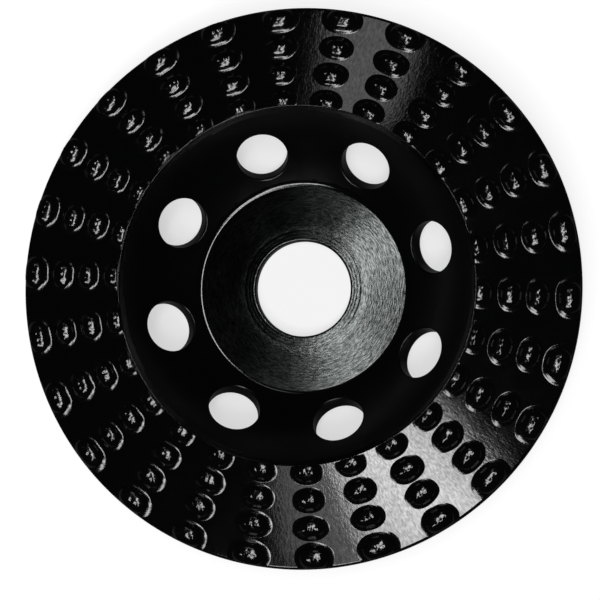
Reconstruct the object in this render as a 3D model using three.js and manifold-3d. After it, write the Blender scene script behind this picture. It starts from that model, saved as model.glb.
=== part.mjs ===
// Carving disc for an angle grinder: a dished steel disc with a 22.23 mm spindle bore, eight
// vent holes in the dish, and 26 radial rows of four carbide-grit mounds on its sloping rim band.
// Millimetres. The origin is the centre of the hub's back face, which seats on the grinder's
// flange, and +Z is the spindle axis, towards the work.
import * as THREE from "three";
import { mergeVertices } from "three/addons/utils/BufferGeometryUtils.js";
import Module from "manifold-3d";

const wasm = await Module();
wasm.setup();

// ---- driving dimensions -------------------------------------------------------------------
const OUTER_R = 63.5; // 5 inch disc
const BORE_R = 22.23 / 2; // 7/8 inch spindle bore
const PLATE_T = 3.2; // the plate has one thickness all over
const HUB_R = 24.3; // flat machined hub face
const CREST_R = 40.3; // where the dish meets the toothed band
const DISH_DEPTH = 14.4; // crest above the hub face
const BAND_DROP = 3.4; // crest above the rim
const CREST_ROUND = 0.7;
const RIM_ROUND = 0.85;
const HUB_FILLET_R = 3;
const BORE_CHAMFER = 0.4;

const VENT_COUNT = 8;
const VENT_R = 5.9;
const VENT_AT_R = 31.5; // distance of a vent's centre from the spindle axis, on the dish's front

const ROW_COUNT = 26;
const ROW_PHASE = THREE.MathUtils.degToRad(8.35);
const MOUND_HEIGHT = 1.5;
// Each mound's distance from the axis, half length along the rim and half width up the slope.
const MOUNDS = [
  { at: 41.7, halfLong: 3.4, halfWide: 2.7 },
  { at: 47.95, halfLong: 3.65, halfWide: 2.7 },
  { at: 54.2, halfLong: 3.85, halfWide: 2.7 },
  { at: 61.0, halfLong: 4.4, halfWide: 3.2 },
];
const ROW_FROM_R = 40.6; // the rows end at the crest and just inside the rim
const ROW_TO_R = 63.2;
const WEB_WIDE = 1.6; // low web of braze that joins the feet of a row's mounds
const WEB_HIGH = 0.7;
const SEAT_GAP = 0.3; // a row stands this far off the plate

// How finely round shapes are faceted.
const RING_SIDES = 72; // a multiple of VENT_COUNT
const CORNER_STEPS = 2;
const FRONT_DISH_STEPS = 5;
const BACK_DISH_STEPS = 4;
const VENT_SIDES = 20;
const MOUND_SIDES = 8;
const MOUND_RINGS = 4;

// Cutting shapes that only have to be large enough.
const VENT_CUTTER_LENGTH = 4 * PLATE_T; // passes through the plate
const ROW_ROOM_WIDE = 20; // wider than any mound
const ROW_ROOM_HIGH = 5; // higher than any mound

// ---- places worked out from them ----------------------------------------------------------
const hubFrontZ = PLATE_T;
const crestZ = hubFrontZ + DISH_DEPTH;
const rimZ = crestZ - BAND_DROP;
const bandSlope = Math.atan2(BAND_DROP, OUTER_R - CREST_R);
// The dish is a sphere centred on the axis, through the hub's edge and the crest.
const dishCentreZ =
  (CREST_R ** 2 - HUB_R ** 2 + crestZ ** 2 - hubFrontZ ** 2) / (2 * DISH_DEPTH);
const dishR = Math.hypot(HUB_R, dishCentreZ - hubFrontZ);
const hubAngle = Math.asin(HUB_R / dishR); // the dish's slope at the hub's edge
const crestAngle = Math.asin(CREST_R / dishR); // and at the crest

const black = new THREE.MeshStandardMaterial({
  color: 0x0b0c0c,
  roughness: 0.18,
  metalness: 0.1,
});
const gritBlack = new THREE.MeshStandardMaterial({
  color: 0x090a0a,
  roughness: 0.3,
  metalness: 0.1,
});

// ---- solids -------------------------------------------------------------------------------
const MERGE_WITHIN = 1e-4; // points closer than this are one

function solidOf(geometry) {
  const bare = geometry.clone();
  bare.deleteAttribute("normal");
  bare.deleteAttribute("uv");
  const merged = mergeVertices(bare, MERGE_WITHIN);
  return new wasm.Manifold(
    new wasm.Mesh({
      numProp: 3,
      vertProperties: new Float32Array(merged.attributes.position.array),
      triVerts: new Uint32Array(merged.index.array),
    }),
  );
}

function geometryOf(solid) {
  const mesh = solid.getMesh();
  const geometry = new THREE.BufferGeometry();
  geometry.setAttribute("position", new THREE.BufferAttribute(mesh.vertProperties, 3));
  geometry.setIndex(new THREE.BufferAttribute(mesh.triVerts, 1));
  geometry.computeVertexNormals();
  return geometry;
}

// ---- the body's profile -------------------------------------------------------------------
// Points on an arc about (r, z), from one angle to the other, in radians above the +r axis.
function arc(r, z, radius, from, to, steps) {
  const points = [];
  for (let i = 0; i <= steps; i++) {
    const a = from + ((to - from) * i) / steps;
    points.push(new THREE.Vector2(r + radius * Math.cos(a), z + radius * Math.sin(a)));
  }
  return points;
}

// A rounded corner between two straight stretches of the profile.
function rounded(before, corner, after, radius, steps) {
  const u = before.clone().sub(corner).normalize();
  const v = after.clone().sub(corner).normalize();
  const half = Math.acos(u.dot(v)) / 2;
  const middle = u.clone().add(v).normalize();
  const centre = corner.clone().addScaledVector(middle, radius / Math.sin(half));
  const start = corner.clone().addScaledVector(u, radius / Math.tan(half)).sub(centre);
  const end = corner.clone().addScaledVector(v, radius / Math.tan(half)).sub(centre);
  let turn = end.angle() - start.angle();
  if (turn > Math.PI) turn -= 2 * Math.PI;
  if (turn < -Math.PI) turn += 2 * Math.PI;
  const from = start.angle();
  return arc(centre.x, centre.y, radius, from, from + turn, steps);
}

const DOWN = -Math.PI / 2; // an arc's angle straight below its centre

// The dish surface at this depth behind its front, from the hub's side to the crest's side.
function dish(behind, fromSlope, toSlope, steps) {
  return arc(0, dishCentreZ, dishR + behind, DOWN + fromSlope, DOWN + toSlope, steps);
}

function bodyProfile() {
  const at = (r, z) => new THREE.Vector2(r, z);
  // Front: the corners of the hub's edge, the crest and the rim.
  const hubEdge = at(HUB_R, hubFrontZ);
  const upDish = at(HUB_R + Math.cos(hubAngle), hubFrontZ + Math.sin(hubAngle));
  const crest = at(CREST_R, crestZ);
  const downDish = at(CREST_R - Math.cos(crestAngle), crestZ - Math.sin(crestAngle));
  const rim = at(OUTER_R, rimZ);
  // Back: the same corners, one plate thickness behind.
  const backR = dishR + PLATE_T;
  const backHub = at(Math.sqrt(backR ** 2 - dishCentreZ ** 2), 0);
  const backHubAngle = Math.asin(backHub.x / backR);
  const bandBack = PLATE_T / Math.cos(bandSlope);
  const backCrest = crossing(backR, crestZ - bandBack);
  const backCrestAngle = Math.asin(backCrest.x / backR);
  const backRim = at(OUTER_R, rimZ - bandBack);
  // Radians of the dish that are left to the corners at its two ends.
  const hubSpare = 0.02;
  const crestSpare = 0.01;

  return [
    at(BORE_R, BORE_CHAMFER),
    at(BORE_R, hubFrontZ - BORE_CHAMFER),
    at(BORE_R + BORE_CHAMFER, hubFrontZ),
    ...rounded(at(BORE_R, hubFrontZ), hubEdge, upDish, HUB_FILLET_R, CORNER_STEPS),
    ...dish(0, hubAngle + hubSpare, crestAngle - crestSpare, FRONT_DISH_STEPS),
    ...rounded(downDish, crest, rim, CREST_ROUND, CORNER_STEPS),
    ...rounded(crest, rim, at(OUTER_R, 0), RIM_ROUND, CORNER_STEPS),
    ...rounded(rim, backRim, backCrest, RIM_ROUND, CORNER_STEPS),
    backCrest,
    ...dish(PLATE_T, backCrestAngle - hubSpare, backHubAngle + hubSpare, BACK_DISH_STEPS),
    backHub,
    at(BORE_R + BORE_CHAMFER, 0),
    at(BORE_R, BORE_CHAMFER),
  ];
}

// Where the dish's back, a circle of this radius, meets the band's back, which would pass
// through the crest's radius at this height.
function crossing(backR, zAtCrest) {
  const fall = Math.tan(bandSlope);
  const top = zAtCrest + fall * CREST_R - dishCentreZ; // z = top - fall * r, from the centre
  const a = 1 + fall ** 2;
  const b = -2 * top * fall;
  const c = top ** 2 - backR ** 2;
  const r = (-b + Math.sqrt(b ** 2 - 4 * a * c)) / (2 * a);
  return new THREE.Vector2(r, dishCentreZ + top - fall * r);
}

// ---- the body, with its vents -------------------------------------------------------------
// A vent is bored square to the dish, so its axis passes through the dish's centre.
function ventCutter(turn) {
  const lean = Math.asin(VENT_AT_R / dishR);
  const outward = new THREE.Vector3(
    Math.sin(lean) * Math.cos(turn),
    Math.sin(lean) * Math.sin(turn),
    -Math.cos(lean),
  );
  const cutter = new THREE.CylinderGeometry(VENT_R, VENT_R, VENT_CUTTER_LENGTH, VENT_SIDES);
  cutter.applyQuaternion(
    new THREE.Quaternion().setFromUnitVectors(new THREE.Vector3(0, 1, 0), outward),
  );
  const middle = outward.multiplyScalar(dishR + PLATE_T / 2);
  return cutter.translate(middle.x, middle.y, dishCentreZ + middle.z);
}

function discBody() {
  const turned = new THREE.LatheGeometry(bodyProfile().reverse(), RING_SIDES).rotateX(Math.PI / 2);
  let solid = solidOf(turned);
  for (let i = 0; i < VENT_COUNT; i++) {
    const cutter = solidOf(ventCutter((2 * Math.PI * i) / VENT_COUNT));
    solid = solid.subtract(cutter);
  }
  const mesh = new THREE.Mesh(geometryOf(solid), black);
  mesh.name = "disc_body";
  return mesh;
}

// ---- a row of mounds ----------------------------------------------------------------------
// A row is made lying flat, X out along the slope from the crest and Z off the plate.
const alongSlope = (r) => (r - CREST_R) / Math.cos(bandSlope);

function box(fromX, toX, wide, fromZ, toZ) {
  return new THREE.BoxGeometry(toX - fromX, wide, toZ - fromZ).translate(
    (fromX + toX) / 2,
    0,
    (fromZ + toZ) / 2,
  );
}

function moundRow() {
  const first = alongSlope(MOUNDS[0].at);
  const last = alongSlope(MOUNDS[MOUNDS.length - 1].at);
  let solid = solidOf(box(first, last, WEB_WIDE, 0, WEB_HIGH));
  for (const { at, halfLong, halfWide } of MOUNDS) {
    const mound = new THREE.SphereGeometry(1, MOUND_SIDES, MOUND_RINGS)
      .rotateX(Math.PI / 2)
      .scale(halfWide, halfLong, MOUND_HEIGHT)
      .translate(alongSlope(at), 0, 0);
    solid = solid.add(solidOf(mound));
  }
  const from = alongSlope(ROW_FROM_R);
  const room = box(from, alongSlope(ROW_TO_R), ROW_ROOM_WIDE, SEAT_GAP, ROW_ROOM_HIGH);
  return geometryOf(solid.intersect(solidOf(room)));
}

function placedRow(geometry, index) {
  const slope = new THREE.Group();
  slope.position.set(CREST_R, 0, crestZ);
  slope.rotation.y = bandSlope;
  const mesh = new THREE.Mesh(geometry, gritBlack);
  mesh.name = "grit_row_" + String(index + 1).padStart(2, "0");
  slope.add(mesh);
  const turned = new THREE.Group();
  turned.rotation.z = ROW_PHASE + (2 * Math.PI * index) / ROW_COUNT;
  turned.add(slope);
  return turned;
}

const disc = new THREE.Group();
disc.add(discBody());
const rowGeometry = moundRow();
for (let i = 0; i < ROW_COUNT; i++) disc.add(placedRow(rowGeometry, i));

export default disc;
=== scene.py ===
"""Carving disc for an angle grinder: its fine meshes, its materials, and a plain studio.

The disc is one dished steel plate with eight vents bored square to the dish, and 104 grit
mounds brazed to its sloping band. Lengths are in millimetres here and turned into metres
where a mesh, a material, a light or the camera is made.
"""

import math
import random

import bmesh
import bpy
from mathutils import Matrix, Vector, noise


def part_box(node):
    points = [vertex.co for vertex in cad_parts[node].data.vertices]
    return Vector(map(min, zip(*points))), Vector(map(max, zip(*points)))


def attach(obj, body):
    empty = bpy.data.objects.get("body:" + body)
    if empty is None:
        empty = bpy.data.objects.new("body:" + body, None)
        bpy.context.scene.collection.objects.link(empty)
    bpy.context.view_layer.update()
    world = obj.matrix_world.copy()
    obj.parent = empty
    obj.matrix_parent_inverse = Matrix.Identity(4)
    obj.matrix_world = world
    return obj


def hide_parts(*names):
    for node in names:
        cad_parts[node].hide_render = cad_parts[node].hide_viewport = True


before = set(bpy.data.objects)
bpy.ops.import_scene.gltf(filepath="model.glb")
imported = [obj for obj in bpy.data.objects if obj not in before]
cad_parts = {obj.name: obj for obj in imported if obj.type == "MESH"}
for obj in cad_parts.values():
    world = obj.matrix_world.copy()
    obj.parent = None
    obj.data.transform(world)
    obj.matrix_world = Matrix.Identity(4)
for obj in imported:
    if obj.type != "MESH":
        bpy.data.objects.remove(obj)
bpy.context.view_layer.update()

MM = 0.001

# ---- the disc's driving dimensions -----------------------------------------------------------
OUTER_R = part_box("disc_body")[1][0] / MM
BORE_R = 11.115
PLATE_T = 3.2
HUB_R = 24.3
CREST_R = 40.3
DISH_DEPTH = 14.4
BAND_DROP = 3.4
HUB_FILLET = 1.9
CREST_ROUND = 0.13
RIM_ROUND = 0.85
BACK_HUB_ROUND = 1.0
BACK_CREST_FILLET = 1.5
BORE_ROUND = 0.5

# Fine grooves that the turning tool leaves round the bore.
GROOVE_RADII = (12.15, 12.8, 13.7)
GROOVE_HALF_WIDTH = 0.14
GROOVE_DEPTH = 0.012

VENT_COUNT = 8
VENT_R = 5.9
VENT_AT_R = 31.5
VENT_EDGE = 0.35

ROW_COUNT = 26
ROW_PHASE = math.radians(8.35)
# Each ring's distance from the axis, and its mounds' half length along the rim, half width up
# the slope, and height.
MOUND_RINGS = (
    (41.7, 3.3, 2.6, 1.2),
    (47.95, 3.55, 2.6, 1.4),
    (54.2, 3.75, 2.65, 1.4),
    (61.0, 4.3, 3.1, 1.65),
)
ROW_FROM_R = 40.45
ROW_TO_R = 63.05

# A mound's dome and the foot of its braze, as shares of its half sizes and its height.
DOME_REACH = 0.84
FOOT_REACH = 1.17
DOME_FOOT = 0.22
RIDGE = 0.16
DOME_CUT = 0.88  # how far down a full half ellipse the flanks go
BRAZE_CURVE = 1.7  # above 1, the braze is concave
BRAZE_SINK = 0.045
FOOT_DEPTH = 0.1  # mm, the mound's closed bottom under the end of its braze
OUTLINE_POWER = 2.15  # 2 is an ellipse, and more is squarer
UNEVEN = 0.05  # how far the outline wanders, by a noise of this scale round it
UNEVEN_SCALE = 1.3

# How the mounds differ. Sizes and heights are shares, and the rest is millimetres.
SIZE_RANGE = (0.95, 1.05)
HEIGHT_RANGE = (0.93, 1.05)
PLACE_RANGE = (-0.15, 0.15)
CREST_CUT_RANGE = (-0.2, 0.3)
SEED_RANGE = (0, 100)

# The grit under a mound's skin, in millimetres: a line of grains, and weaker lumps round it.
GRAIN_COUNTS = (3, 3, 4, 4)
GRAIN_LINE = 1.25  # the line's length, as a share of the mound's half length
GRAIN_SCATTER = (-0.15, 0.15)
GRAIN_UP = (-0.05, 0.4)
GRAIN_SPREAD = (0.26, 0.34)
GRAIN_HEIGHT = (0.15, 0.21)
LUMP_COUNT = 6
LUMP_AWAY_SQUARED = (0.2, 0.6)  # from the mound's middle, in shares of its half sizes
LUMP_SPREAD = (0.35, 0.5)
LUMP_HEIGHT = (-0.05, 0.05)
ROUGH = 0.02
ROUGH_SCALE = 1.6
ROUGH_OCTAVES = (0.6, 2.0, 4)  # how fast they fade, the ratio of their scales, their number
GRIT_FADE = 1.6  # the grit is full above 1 / 1.6 of the dome's height, and fades below

# ---- how finely it is meshed -----------------------------------------------------------------
MERGE_DISTANCE = 1e-4
SECTOR_STEPS = 48  # round one vent's eighth of a ring
SIDE_STEPS = 24  # up the dish
OPEN_STEPS = 16  # from a vent's edge to its sector's edge
OPEN_CROWDING = 1.3  # above 1, those steps are closer together near the vent
VENT_EDGE_STEPS = 5
VENT_WALL_STEPS = 4
BORE_ROUND_STEPS = 5
HUB_FILLET_STEPS = 24
BACK_HUB_STEPS = 6
FLAT_STEPS = 6  # across the hub's flats and the band's back
BAND_STEPS = 10
CREST_STEPS = 8
RIM_STEPS = 6
RIM_WALL_STEPS = 3
MOUND_SIDES = 56
DOME_STEPS = 16
SKIRT_STEPS = 12
FLOOR_SIDES = 96

# ---- which material a face of the plate has --------------------------------------------------
GLOSS_SLOT, TURNED_SLOT, DISH_SLOT = range(3)
FRONT_FLAT = (-0.02, 0.0001)  # above the hub's front face, and down into its grooves
BACK_FLAT = 0.01
DISH_MARGIN = 1  # the hub's fillet and the crest keep the band's gloss

# ---- places worked out from them -------------------------------------------------------------
CREST_Z = PLATE_T + DISH_DEPTH
RIM_Z = CREST_Z - BAND_DROP
BAND_SLOPE = math.atan2(BAND_DROP, OUTER_R - CREST_R)
BAND_ALONG = Vector((math.cos(BAND_SLOPE), -math.sin(BAND_SLOPE)))
BAND_NORMAL = Vector((math.sin(BAND_SLOPE), math.cos(BAND_SLOPE)))
# The dish is a sphere centred on the axis, through the hub's edge and the crest.
DISH_CENTRE_Z = (CREST_R**2 - HUB_R**2 + CREST_Z**2 - PLATE_T**2) / (2 * DISH_DEPTH)
DISH_CENTRE = Vector((0.0, 0.0, DISH_CENTRE_Z))
DISH_R = math.hypot(HUB_R, DISH_CENTRE_Z - PLATE_T)
VENT_LEAN = math.asin(VENT_AT_R / DISH_R)


# ---- meshes ----------------------------------------------------------------------------------
def new_object(name, bm, materials):
    """An object made from a mesh in millimetres, smooth all over."""
    bmesh.ops.remove_doubles(bm, verts=bm.verts, dist=MERGE_DISTANCE)
    bmesh.ops.recalc_face_normals(bm, faces=bm.faces)
    bmesh.ops.scale(bm, verts=bm.verts, vec=(MM, MM, MM))
    mesh = bpy.data.meshes.new(name)
    bm.to_mesh(mesh)
    bm.free()
    mesh.shade_smooth()
    for material in materials:
        mesh.materials.append(material)
    piece = bpy.data.objects.new(name, mesh)
    bpy.context.scene.collection.objects.link(piece)
    return piece


def skin(bm, rings):
    """Faces between closed rings of points: each ring is a list of the same length."""
    made = [[bm.verts.new(point) for point in ring] for ring in rings]
    for low, high in zip(made, made[1:]):
        count = len(low)
        for i in range(count):
            j = (i + 1) % count
            bm.faces.new((low[i], low[j], high[j], high[i]))
    return made


def arc(centre, radius, start, end, steps):
    """Points on an arc in the (r, z) plane, its angles in radians above the +r axis."""
    points = []
    for i in range(steps + 1):
        a = start + (end - start) * i / steps
        points.append(Vector((centre[0] + radius * math.cos(a), centre[1] + radius * math.sin(a))))
    return points


def spread(start, end, steps):
    """The points that cut a straight line into steps, without the line's ends."""
    return [start.lerp(end, i / steps) for i in range(1, steps)]


# ---- the plate's profile ---------------------------------------------------------------------
def hub_round(sphere_r, plane_z, radius, steps):
    """The arc between a flat face of the hub and the dish, and the dish's polar angle there."""
    up = DISH_CENTRE_Z - plane_z - radius
    centre = (math.sqrt((sphere_r - radius) ** 2 - up**2), plane_z + radius)
    polar = math.atan2(centre[0], up)
    return arc(centre, radius, -math.pi / 2, polar - math.pi / 2, steps), polar


def crest_round(sphere_r, depth, radius):
    """The arc between the dish and the band, depth below its front, and the polar angle there."""
    base = Vector((CREST_R, CREST_Z - DISH_CENTRE_Z)) - BAND_NORMAL * (depth + radius)
    along = base.dot(BAND_ALONG)
    reach = -along + math.sqrt(along**2 - base.length_squared + (sphere_r + radius) ** 2)
    offset = base + BAND_ALONG * reach
    polar = math.atan2(offset.x, -offset.y)
    centre = (offset.x, offset.y + DISH_CENTRE_Z)
    return arc(centre, radius, polar + math.pi / 2, math.pi / 2 - BAND_SLOPE, CREST_STEPS), polar


def grooves():
    """The hub's front across its grooves, from the bore outwards."""
    points = []
    for r in GROOVE_RADII:
        points += [
            Vector((r - GROOVE_HALF_WIDTH, PLATE_T)),
            Vector((r - GROOVE_HALF_WIDTH / 2, PLATE_T - GROOVE_DEPTH)),
            Vector((r + GROOVE_HALF_WIDTH / 2, PLATE_T - GROOVE_DEPTH)),
            Vector((r + GROOVE_HALF_WIDTH, PLATE_T)),
        ]
    return points


def front_hub_profile():
    """From the bore's wall over its round and across the hub's front to the dish."""
    fillet, polar = hub_round(DISH_R, PLATE_T, HUB_FILLET, HUB_FILLET_STEPS)
    centre = (BORE_R + BORE_ROUND, PLATE_T - BORE_ROUND)
    edge = arc(centre, BORE_ROUND, math.pi, math.pi / 2, BORE_ROUND_STEPS)
    face = grooves()
    flat = spread(face[-1], fillet[0], FLAT_STEPS)
    return edge + face + flat + fillet, polar


def back_hub_profile():
    """The same across the hub's back, which has no grooves."""
    fillet, polar = hub_round(DISH_R + PLATE_T, 0.0, BACK_HUB_ROUND, BACK_HUB_STEPS)
    centre = (BORE_R + BORE_ROUND, BORE_ROUND)
    edge = arc(centre, BORE_ROUND, math.pi, 1.5 * math.pi, BORE_ROUND_STEPS)
    flat = spread(edge[-1], fillet[0], FLAT_STEPS)
    return edge + flat + fillet, polar


def band_profile():
    """From the dish's front over the crest, down the band, round the rim and back."""
    crest, front_polar = crest_round(DISH_R, 0.0, CREST_ROUND)
    inner, back_polar = crest_round(DISH_R + PLATE_T, PLATE_T, BACK_CREST_FILLET)
    inner.reverse()
    round_r = OUTER_R - RIM_ROUND
    back_rim_z = RIM_Z - PLATE_T / math.cos(BAND_SLOPE)
    turn = math.tan(math.pi / 4 - BAND_SLOPE / 2)  # from a rim corner to where its round starts
    turn_back = math.tan(math.pi / 4 + BAND_SLOPE / 2)
    top_centre = (round_r, RIM_Z - RIM_ROUND * turn)
    top = arc(top_centre, RIM_ROUND, math.pi / 2 - BAND_SLOPE, 0.0, RIM_STEPS)
    bottom_centre = (round_r, back_rim_z + RIM_ROUND * turn_back)
    bottom = arc(bottom_centre, RIM_ROUND, 0.0, -math.pi / 2 - BAND_SLOPE, RIM_STEPS)
    front = spread(crest[-1], top[0], BAND_STEPS)
    side = spread(top[-1], bottom[0], RIM_WALL_STEPS)
    back = spread(bottom[-1], inner[0], FLAT_STEPS)
    return crest + front + top + side + bottom + back + inner, front_polar, back_polar


def lathe(bm, profile):
    """The profile turned all the way round the axis."""
    steps = VENT_COUNT * SECTOR_STEPS
    rings = []
    for point in profile:
        ring = []
        for i in range(steps):
            a = 2 * math.pi * (i / steps - 0.5 / VENT_COUNT)
            ring.append((point.x * math.cos(a), point.x * math.sin(a), point.y))
        rings.append(ring)
    skin(bm, rings)


# ---- the dish and its vents ------------------------------------------------------------------
def direction(polar, turn):
    """A unit vector from the dish's centre, polar radians off straight down."""
    flat = math.sin(polar)
    return Vector((flat * math.cos(turn), flat * math.sin(turn), -math.cos(polar)))


def sector_edge(low, high, middle):
    """Directions round one vent's sector of the dish, between two polar angles."""
    half = math.pi / VENT_COUNT
    turns = [middle - half + 2 * half * i / SECTOR_STEPS for i in range(SECTOR_STEPS)]
    polars = [low + (high - low) * i / SIDE_STEPS for i in range(SIDE_STEPS)]
    edge = [direction(low, turn) for turn in turns]
    edge += [direction(polar, middle + half) for polar in polars]
    edge += [direction(high, 2 * middle - turn) for turn in turns]
    edge += [direction(low + high - polar, middle - half) for polar in polars]
    return edge


def bearings(axis, edge):
    """Unit vectors square to the vent's axis, each towards one point of its sector's edge."""
    return [(point - axis * point.dot(axis)).normalized() for point in edge]


def vent_ring(axis, outward, reach, along):
    """A circle about a vent's axis, reach from the axis and along from the dish's centre."""
    return [DISH_CENTRE + axis * along + out * reach for out in outward]


def open_sector(bm, sphere_r, edge, axis, outward, vent_reach):
    """The dish between a vent's edge and its sector's edge, all on one sphere."""
    lean = math.asin(vent_reach / sphere_r)
    inner = [axis * math.cos(lean) + out * math.sin(lean) for out in outward]
    rings = []
    for i in range(OPEN_STEPS + 1):
        share = (i / OPEN_STEPS) ** OPEN_CROWDING
        ways = [a.lerp(b, share).normalized() for a, b in zip(inner, edge)]
        rings.append([DISH_CENTRE + way * sphere_r for way in ways])
    skin(bm, rings)


def vent_edge(sphere_r, inward):
    """(reach, along) points from the dish over the vent's rounded edge to its wall."""
    centre_reach = VENT_R + VENT_EDGE
    centre_along = math.sqrt((sphere_r + inward * VENT_EDGE) ** 2 - centre_reach**2)
    lean = math.atan2(centre_reach, centre_along)
    start = math.pi / 2 - lean + (math.pi if inward > 0 else 0.0)
    return arc((centre_reach, centre_along), VENT_EDGE, start, math.pi, VENT_EDGE_STEPS)


def vented_dish(bm, front_polars, back_polars):
    """The dish's front and back between the hub and the crest, and its vents' walls."""
    front_edge = vent_edge(DISH_R, 1)
    back_edge = vent_edge(DISH_R + PLATE_T, -1)
    back_edge.reverse()
    wall = front_edge + spread(front_edge[-1], back_edge[0], VENT_WALL_STEPS) + back_edge
    for i in range(VENT_COUNT):
        middle = 2 * math.pi * i / VENT_COUNT
        axis = direction(VENT_LEAN, middle)
        front = sector_edge(*front_polars, middle)
        back = sector_edge(*back_polars, middle)
        outward = bearings(axis, front)
        open_sector(bm, DISH_R, front, axis, outward, wall[0].x)
        open_sector(bm, DISH_R + PLATE_T, back, axis, outward, wall[-1].x)
        skin(bm, [vent_ring(axis, outward, point.x, point.y) for point in wall])


def plate_slot(middle):
    """The material slot of a face of the plate, from the face's middle."""
    r = math.hypot(middle.x, middle.y)
    from_centre = math.hypot(r, middle.z - DISH_CENTRE_Z)
    flat_front = FRONT_FLAT[0] < middle.z - PLATE_T < FRONT_FLAT[1]
    flat_back = abs(middle.z) < BACK_FLAT
    if (flat_front or flat_back) and r < HUB_R:
        return TURNED_SLOT
    in_dish = HUB_R + DISH_MARGIN < r < CREST_R - DISH_MARGIN
    if in_dish and from_centre < DISH_R + VENT_EDGE:
        return DISH_SLOT
    return GLOSS_SLOT


def disc_plate(gloss, turned, dish):
    bm = bmesh.new()
    front_hub, front_low = front_hub_profile()
    back_hub, back_low = back_hub_profile()
    band, front_high, back_high = band_profile()
    lathe(bm, front_hub)
    lathe(bm, back_hub)
    lathe(bm, [front_hub[0], (front_hub[0] + back_hub[0]) / 2, back_hub[0]])
    lathe(bm, band)
    vented_dish(bm, (front_low, front_high), (back_low, back_high))
    for face in bm.faces:
        face.material_index = plate_slot(face.calc_center_median())
    plate = new_object("dished_plate", bm, [gloss, turned, dish])
    weighted = plate.modifiers.new("even_flats", "WEIGHTED_NORMAL")
    weighted.keep_sharp = True
    return plate


# ---- the grit mounds -------------------------------------------------------------------------
def dome_height(across, up):
    """A loaf's height over a point, as a share of its top's: both are shares of its half sizes.

    A short ridge runs along the middle, and rounded flanks fall away from it.
    """
    past_ridge = max(0.0, abs(across) - RIDGE) / (1 - RIDGE)
    out = min(1.0, DOME_CUT * math.hypot(past_ridge, up))
    fall = (1 - math.sqrt(1 - out**2)) / (1 - math.sqrt(1 - DOME_CUT**2))
    return 1 - (1 - DOME_FOOT) * fall


def mound_reaches():
    """(reach, share of the dome's height there) from a mound's top to the end of its braze.

    Beyond the dome, the braze runs out onto the band in a concave fillet, and ends just
    under the band's surface.
    """
    pairs = [(DOME_REACH * i / DOME_STEPS, 1.0) for i in range(1, DOME_STEPS + 1)]
    for i in range(1, SKIRT_STEPS + 1):
        share = i / SKIRT_STEPS
        reach = DOME_REACH + (FOOT_REACH - DOME_REACH) * share
        pairs.append((reach, (1 - share) ** BRAZE_CURVE - BRAZE_SINK * share))
    return pairs


def grains(dice, half_long, half_wide):
    """The grit under a mound's skin: (across, up, spread, height) of each grain and lump."""
    made = []
    count = dice.choice(GRAIN_COUNTS)
    for i in range(count):
        in_line = (i - (count - 1) / 2) * half_long * GRAIN_LINE / count
        across = in_line + dice.uniform(*GRAIN_SCATTER)
        up = dice.uniform(*GRAIN_UP)
        made.append((across, up, dice.uniform(*GRAIN_SPREAD), dice.uniform(*GRAIN_HEIGHT)))
    for _ in range(LUMP_COUNT):
        a = dice.uniform(0, 2 * math.pi)
        away = math.sqrt(dice.uniform(*LUMP_AWAY_SQUARED))
        across = away * half_long * math.cos(a)
        up = away * half_wide * math.sin(a)
        made.append((across, up, dice.uniform(*LUMP_SPREAD), dice.uniform(*LUMP_HEIGHT)))
    return made


def grit_height(across, up, grit, seed):
    """How far the grit stands out of a mound's dome over a point."""
    bumps = sum(
        tall * math.exp(-((across - x) ** 2 + (up - y) ** 2) / (2 * wide**2))
        for x, y, wide, tall in grit
    )
    place = Vector((across, up, seed)) * ROUGH_SCALE
    return bumps + ROUGH * noise.fractal(place, *ROUGH_OCTAVES)


def mound_point(row_turn, ring_r, across, up, height, limits):
    """A point of a mound on the band, kept between the crest's and the rim's limits."""
    inner, outer = limits
    turn = row_turn + across / ring_r
    r = min(max(ring_r + up, inner), outer)
    z = CREST_Z - (r - CREST_R) * math.tan(BAND_SLOPE) + height
    return Vector((r * math.cos(turn), r * math.sin(turn), z))


def grit_mound(name, row_turn, ring, dice, material):
    """One mound. Every draw from the dice is in an order that fixes how the disc looks."""
    ring_r, half_long, half_wide, high = ring
    half_long *= dice.uniform(*SIZE_RANGE)
    half_wide *= dice.uniform(*SIZE_RANGE)
    ring_r += dice.uniform(*PLACE_RANGE)
    row_turn += dice.uniform(*PLACE_RANGE) / ring_r
    high *= dice.uniform(*HEIGHT_RANGE)
    limits = (ROW_FROM_R + dice.uniform(*CREST_CUT_RANGE), ROW_TO_R)
    grit = grains(dice, half_long, half_wide)
    seed = dice.uniform(*SEED_RANGE)

    def at(reach, share, a):
        # A little squarer than an ellipse, with an uneven outline.
        c, s = math.cos(a), math.sin(a)
        square = (abs(c) ** OUTLINE_POWER + abs(s) ** OUTLINE_POWER) ** (-1 / OUTLINE_POWER)
        wander = noise.noise(Vector((c * UNEVEN_SCALE, s * UNEVEN_SCALE, seed)))
        uneven = 1 + UNEVEN * wander
        across = reach * square * uneven * c * half_long
        up = reach * square * uneven * s * half_wide
        on_dome = min(reach / DOME_REACH, 1.0)
        dome = dome_height(on_dome * c * square, on_dome * s * square) * share
        fade = max(0.0, min(1.0, dome * GRIT_FADE))
        height = high * dome + grit_height(across, up, grit, seed) * fade
        return mound_point(row_turn, ring_r, across, up, height, limits)

    turns = [2 * math.pi * i / MOUND_SIDES for i in range(MOUND_SIDES)]
    rings = [[at(reach, share, turn) for turn in turns] for reach, share in mound_reaches()]
    rings.append([point - Vector((0, 0, FOOT_DEPTH)) for point in rings[-1]])

    bm = bmesh.new()
    made = skin(bm, rings)
    top = bm.verts.new(at(0.0, 1.0, 0.0))
    for i in range(MOUND_SIDES):
        bm.faces.new((top, made[0][i], made[0][(i + 1) % MOUND_SIDES]))
    bm.faces.new(made[-1])
    return new_object(name, bm, [material])


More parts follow.
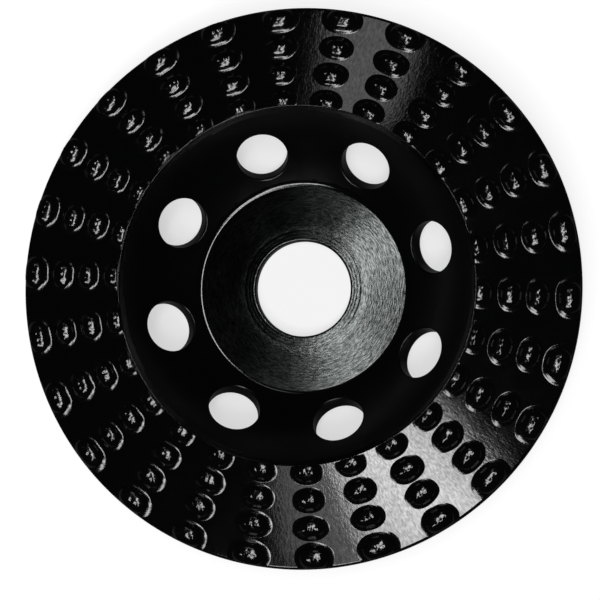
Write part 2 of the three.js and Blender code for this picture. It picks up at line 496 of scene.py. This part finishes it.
# ---- materials -------------------------------------------------------------------------------
NOISE_MIDDLE = (0.3, 0.7)  # where nearly all the values of a noise lie
TOOL_LEAN = 0.11  # the slope of the sawtooth that a turning tool leaves
MARK_STRETCH = 0.0045  # m, the radius of the circle that the tool marks' noise is taken on


def new_material(name):
    material = bpy.data.materials.new(name)
    material.use_nodes = True
    nodes = material.node_tree.nodes
    return material, nodes, material.node_tree.links, nodes["Principled BSDF"]


def object_coordinates(nodes):
    return nodes.new("ShaderNodeTexCoord").outputs["Object"]


def vector_math(nodes, links, operation, *vectors):
    """A vector node, with the vectors linked to its first inputs."""
    node = nodes.new("ShaderNodeVectorMath")
    node.operation = operation
    for vector, socket in zip(vectors, node.inputs):
        links.new(vector, socket)
    return node


def noise_node(nodes, links, vector, scale, detail):
    """A noise whose scale is in features to the metre."""
    texture = nodes.new("ShaderNodeTexNoise")
    texture.inputs["Scale"].default_value = scale
    texture.inputs["Detail"].default_value = detail
    links.new(vector, texture.inputs["Vector"])
    return texture.outputs["Fac"]


def ranged(nodes, links, value, low, high):
    """A noise's value, spread from low to high."""
    spread_node = nodes.new("ShaderNodeMapRange")
    spread_node.inputs["From Min"].default_value = NOISE_MIDDLE[0]
    spread_node.inputs["From Max"].default_value = NOISE_MIDDLE[1]
    spread_node.inputs["To Min"].default_value = low
    spread_node.inputs["To Max"].default_value = high
    links.new(value, spread_node.inputs["Value"])
    return spread_node.outputs["Result"]


def bump(nodes, links, height, distance, normal=None, sunken=False):
    """A normal bent as if the surface stood out by the height times the distance, in metres."""
    node = nodes.new("ShaderNodeBump")
    node.invert = sunken
    node.inputs["Distance"].default_value = distance
    links.new(height, node.inputs["Height"])
    if normal is not None:
        links.new(normal, node.inputs["Normal"])
    return node.outputs["Normal"]


def gloss_black():
    """Gloss black plating over pressed steel: slight orange peel and radial sanding marks."""
    material, nodes, links, shader = new_material("gloss_black_plating")
    shader.inputs["Base Color"].default_value = (0.0015, 0.0016, 0.0016, 1)
    shader.inputs["IOR"].default_value = 1.6
    where = object_coordinates(nodes)
    peel = noise_node(nodes, links, where, scale=900, detail=2)
    # A noise over the direction from the hub's centre is drawn out into radial streaks.
    streaks = vector_math(nodes, links, "NORMALIZE", where)
    marks = noise_node(nodes, links, streaks.outputs["Vector"], scale=130, detail=5)
    specular = ranged(nodes, links, marks, low=0.32, high=0.68)
    links.new(specular, shader.inputs["Specular IOR Level"])
    patches = noise_node(nodes, links, where, scale=120, detail=3)
    roughness = ranged(nodes, links, patches, low=0.055, high=0.095)
    links.new(roughness, shader.inputs["Roughness"])
    peeled = bump(nodes, links, peel, distance=0.00001)
    links.new(bump(nodes, links, marks, distance=0.00001, normal=peeled), shader.inputs["Normal"])
    return material


def dish_black():
    """The inside of the dish: the same plating, over a surface that isn't polished first."""
    material, nodes, links, shader = new_material("dish_black_plating")
    shader.inputs["Base Color"].default_value = (0.0015, 0.0016, 0.0016, 1)
    shader.inputs["IOR"].default_value = 1.4
    where = object_coordinates(nodes)
    grain = noise_node(nodes, links, where, scale=1500, detail=3)
    patches = noise_node(nodes, links, where, scale=120, detail=3)
    roughness = ranged(nodes, links, patches, low=0.18, high=0.26)
    links.new(roughness, shader.inputs["Roughness"])
    links.new(bump(nodes, links, grain, distance=0.00001), shader.inputs["Normal"])
    return material


def tool_marks(nodes, links, flat, radius):
    """A noise of short broken arcs: fine along the radius, stretched round the bore."""
    round_bore = vector_math(nodes, links, "NORMALIZE", flat)
    stretched = vector_math(nodes, links, "SCALE", round_bore.outputs["Vector"])
    stretched.inputs["Scale"].default_value = MARK_STRETCH
    across = nodes.new("ShaderNodeCombineXYZ")
    links.new(radius, across.inputs["Z"])
    both = (stretched.outputs["Vector"], across.outputs["Vector"])
    arcs = vector_math(nodes, links, "ADD", *both)
    return noise_node(nodes, links, arcs.outputs["Vector"], scale=3200, detail=4)


def turned_black():
    """The hub's machined faces: satin black, with fine concentric tool marks."""
    material, nodes, links, shader = new_material("turned_black_steel")
    shader.inputs["Metallic"].default_value = 1.0
    shader.inputs["Anisotropic"].default_value = 0.2
    where = object_coordinates(nodes)
    flatten = vector_math(nodes, links, "MULTIPLY", where)
    flatten.inputs[1].default_value = (1, 1, 0)
    flat = flatten.outputs["Vector"]
    radius = vector_math(nodes, links, "LENGTH", flat).outputs["Value"]
    marks = tool_marks(nodes, links, flat, radius)
    tint = nodes.new("ShaderNodeMix")
    tint.data_type = "RGBA"
    tint.inputs["A"].default_value = (0.008, 0.011, 0.01, 1)
    tint.inputs["B"].default_value = (0.087, 0.091, 0.089, 1)
    links.new(ranged(nodes, links, marks, low=0.0, high=1.0), tint.inputs["Factor"])
    links.new(tint.outputs["Result"], shader.inputs["Base Color"])
    patches = noise_node(nodes, links, where, scale=160, detail=5)
    links.new(ranged(nodes, links, patches, low=0.15, high=0.2), shader.inputs["Roughness"])
    tangent = nodes.new("ShaderNodeTangent")
    tangent.direction_type = "RADIAL"
    tangent.axis = "Z"
    links.new(tangent.outputs["Tangent"], shader.inputs["Tangent"])
    # The tool leaves a sawtooth, whose faces all lean a little away from the bore.
    lean = bump(nodes, links, radius, distance=TOOL_LEAN, sunken=True)
    links.new(bump(nodes, links, marks, distance=0.000024, normal=lean), shader.inputs["Normal"])
    return material


def grit_black():
    """Grit brazed on and plated over: glossy, with a grainy skin."""
    material, nodes, links, shader = new_material("plated_grit")
    shader.inputs["Base Color"].default_value = (0.002, 0.002, 0.0021, 1)
    shader.inputs["IOR"].default_value = 1.6
    where = object_coordinates(nodes)
    grain = noise_node(nodes, links, where, scale=2600, detail=5)
    links.new(ranged(nodes, links, grain, low=0.07, high=0.16), shader.inputs["Roughness"])
    links.new(bump(nodes, links, grain, distance=0.00002), shader.inputs["Normal"])
    return material


# ---- the studio ------------------------------------------------------------------------------
VIEW_TURN = -16.2  # the picture's right, in degrees about the axis from +X
VIEW_TILT = 9.4  # degrees off the disc's axis
VIEW_AZIMUTH = -25.0  # the way the camera leans, in degrees from the picture's right
VIEW_DISTANCE = 337.0  # from the middle of the rim
LENS = 89.8
SENSOR_WIDTH = 36
SHIFT_X = 0.0068
SHIFT_Y = -0.0247
CLIP_START = 0.01  # m

# A surface seen by the camera is pale, and dark in the disc's reflections of it.
BACKDROP_SEEN = 0.95
BACKDROP_MIRRORED = 0.008
FLOOR_SEEN = 0.34
FLOOR_MIRRORED = 0.08
GLOW_MIRRORED = 0.03
# How strongly the camera sees the light table glow: distance from the axis, and strength. It is
# a little dimmer under the vents than under the bore, and brightest outside the disc: a painted
# shadow of the disc.
GLOW_SEEN = ((14.0, 0.68), (22.0, 0.6), (45.0, 0.6), (75.0, 0.85))

FLOOR_ROUGHNESS = 0.9
FLOOR_R = 4000
FLOOR_Z = -0.05


def towards(azimuth, tilt, distance):
    """A place above the disc: azimuth from the picture's right, tilt off the disc's axis."""
    turn = math.radians(azimuth + VIEW_TURN)
    lean = math.radians(tilt)
    flat = math.sin(lean)
    out = Vector((flat * math.cos(turn), flat * math.sin(turn), math.cos(lean)))
    return (Vector((0, 0, RIM_Z)) + out * distance) * MM


def facing_disc(place):
    """A camera's or light's matrix at a place, looking at the disc with the picture's up."""
    turn = math.radians(90 + VIEW_TURN)
    up = Vector((math.cos(turn), math.sin(turn), 0))
    back = (place - Vector((0, 0, RIM_Z * MM))).normalized()
    right = up.cross(back).normalized()
    turned = Matrix((right, back.cross(right), back)).transposed()
    return Matrix.Translation(place) @ turned.to_4x4()


def add_camera():
    data = bpy.data.cameras.new("camera")
    data.lens = LENS
    data.sensor_width = SENSOR_WIDTH
    data.shift_x = SHIFT_X
    data.shift_y = SHIFT_Y
    data.clip_start = CLIP_START
    camera = bpy.data.objects.new("camera", data)
    bpy.context.scene.collection.objects.link(camera)
    camera.matrix_world = facing_disc(towards(VIEW_AZIMUTH, VIEW_TILT, VIEW_DISTANCE))
    bpy.context.scene.camera = camera


def softbox(name, place, wide, tall, radiance, roll=0.0):
    """A panel facing the disc. Place is (right, up) in the picture as shares of its height."""
    right, up, height = place
    turn = math.radians(VIEW_TURN)
    x = right * math.cos(turn) - up * math.sin(turn)
    y = right * math.sin(turn) + up * math.cos(turn)
    position = Vector((x * height, y * height, height)) * MM
    data = bpy.data.lights.new(name, "AREA")
    data.shape = "RECTANGLE"
    data.size = wide * MM
    data.size_y = tall * MM
    data.energy = radiance * math.pi * data.size * data.size_y
    light = bpy.data.objects.new(name, data)
    bpy.context.scene.collection.objects.link(light)
    spin = Matrix.Rotation(math.radians(roll), 4, "Z")
    light.matrix_world = facing_disc(position) @ spin


def add_lights():
    softbox("key_softbox", (0.105, -0.365, 900), wide=262, tall=232, radiance=7.2, roll=35)
    softbox("key_core", (0.10, -0.37, 890), wide=110, tall=230, radiance=2.6, roll=60)
    softbox("low_fill", (0.05, -0.38, 920), wide=440, tall=240, radiance=1.2, roll=30)
    softbox("overhead", (0.04, 0.05, 900), wide=145, tall=430, radiance=10.0, roll=-20)
    softbox("front_panel", (-0.12, -0.71, 900), wide=420, tall=250, radiance=8.0)
    softbox("top_strip", (0.0, 0.58, 900), wide=170, tall=160, radiance=1.4)


def add_world():
    """The pale backdrop that the camera sees; reflections see a dark studio."""
    world = bpy.data.worlds.new("studio")
    world.use_nodes = True
    bpy.context.scene.world = world
    nodes, links = world.node_tree.nodes, world.node_tree.links
    nodes.clear()
    rays = nodes.new("ShaderNodeLightPath")
    mix = nodes.new("ShaderNodeMixShader")
    output = nodes.new("ShaderNodeOutputWorld")
    links.new(rays.outputs["Is Camera Ray"], mix.inputs["Fac"])
    for level, socket in zip((BACKDROP_MIRRORED, BACKDROP_SEEN), mix.inputs[1:]):
        background = nodes.new("ShaderNodeBackground")
        background.inputs["Color"].default_value = (level, level, level, 1)
        links.new(background.outputs["Background"], socket)
    links.new(mix.outputs["Shader"], output.inputs["Surface"])


def table_glow_and_painted_shadow(nodes, links):
    """How strongly the camera sees the light table glow, by distance from the axis: dimmed under
    the disc as a painted shadow.
    """
    furthest = GLOW_SEEN[-1][0]
    away = vector_math(nodes, links, "LENGTH", object_coordinates(nodes))
    share = nodes.new("ShaderNodeMath")
    share.operation = "DIVIDE"
    share.inputs[1].default_value = furthest * MM
    links.new(away.outputs["Value"], share.inputs[0])
    glow = nodes.new("ShaderNodeValToRGB")
    stops = glow.color_ramp.elements
    while len(stops) < len(GLOW_SEEN):
        stops.new(1.0)
    for stop, (r, strength) in zip(stops, GLOW_SEEN):
        stop.position = r / furthest
        stop.color = (strength, strength, strength, 1)
    links.new(share.outputs["Value"], glow.inputs["Fac"])
    return glow.outputs["Color"]


def add_floor():
    """A pale light table under the disc, which its own underside sees dimmed; its glow has a
    painted shadow of the disc.
    """
    material, nodes, links, shader = new_material("light_table")
    shader.inputs["Roughness"].default_value = FLOOR_ROUGHNESS
    shader.inputs["Emission Color"].default_value = (1, 1, 1, 1)
    rays = nodes.new("ShaderNodeLightPath")
    seen = {}
    for socket, mirrored in (("Base Color", FLOOR_MIRRORED), ("Emission Strength", GLOW_MIRRORED)):
        level = nodes.new("ShaderNodeMapRange")
        level.inputs["To Min"].default_value = mirrored
        links.new(rays.outputs["Is Camera Ray"], level.inputs["Value"])
        links.new(level.outputs["Result"], shader.inputs[socket])
        seen[socket] = level.inputs["To Max"]
    seen["Base Color"].default_value = FLOOR_SEEN
    # The camera's glow, with the disc's painted shadow under it.
    links.new(table_glow_and_painted_shadow(nodes, links), seen["Emission Strength"])
    bm = bmesh.new()
    bmesh.ops.create_circle(bm, cap_ends=True, segments=FLOOR_SIDES, radius=FLOOR_R)
    floor = new_object("floor", bm, [material])
    floor.location.z = FLOOR_Z * MM


# ---- the whole -------------------------------------------------------------------------------
GRIT_SEED = 26


def add_disc():
    grit = grit_black()
    plate = disc_plate(gloss_black(), turned_black(), dish_black())
    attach(plate, "root")
    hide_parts("disc_body")
    dice = random.Random(GRIT_SEED)
    for row in range(1, ROW_COUNT + 1):
        turn = ROW_PHASE + 2 * math.pi * (row - 1) / ROW_COUNT
        for number, ring in enumerate(MOUND_RINGS, 1):
            mound = grit_mound(f"grit_mound_{row:02d}_{number}", turn, ring, dice, grit)
            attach(mound, "root")
            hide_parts(f"grit_row_{row:02d}")


bpy.context.scene.view_settings.view_transform = "Standard"
add_camera()
add_lights()
add_world()
add_floor()
add_disc()
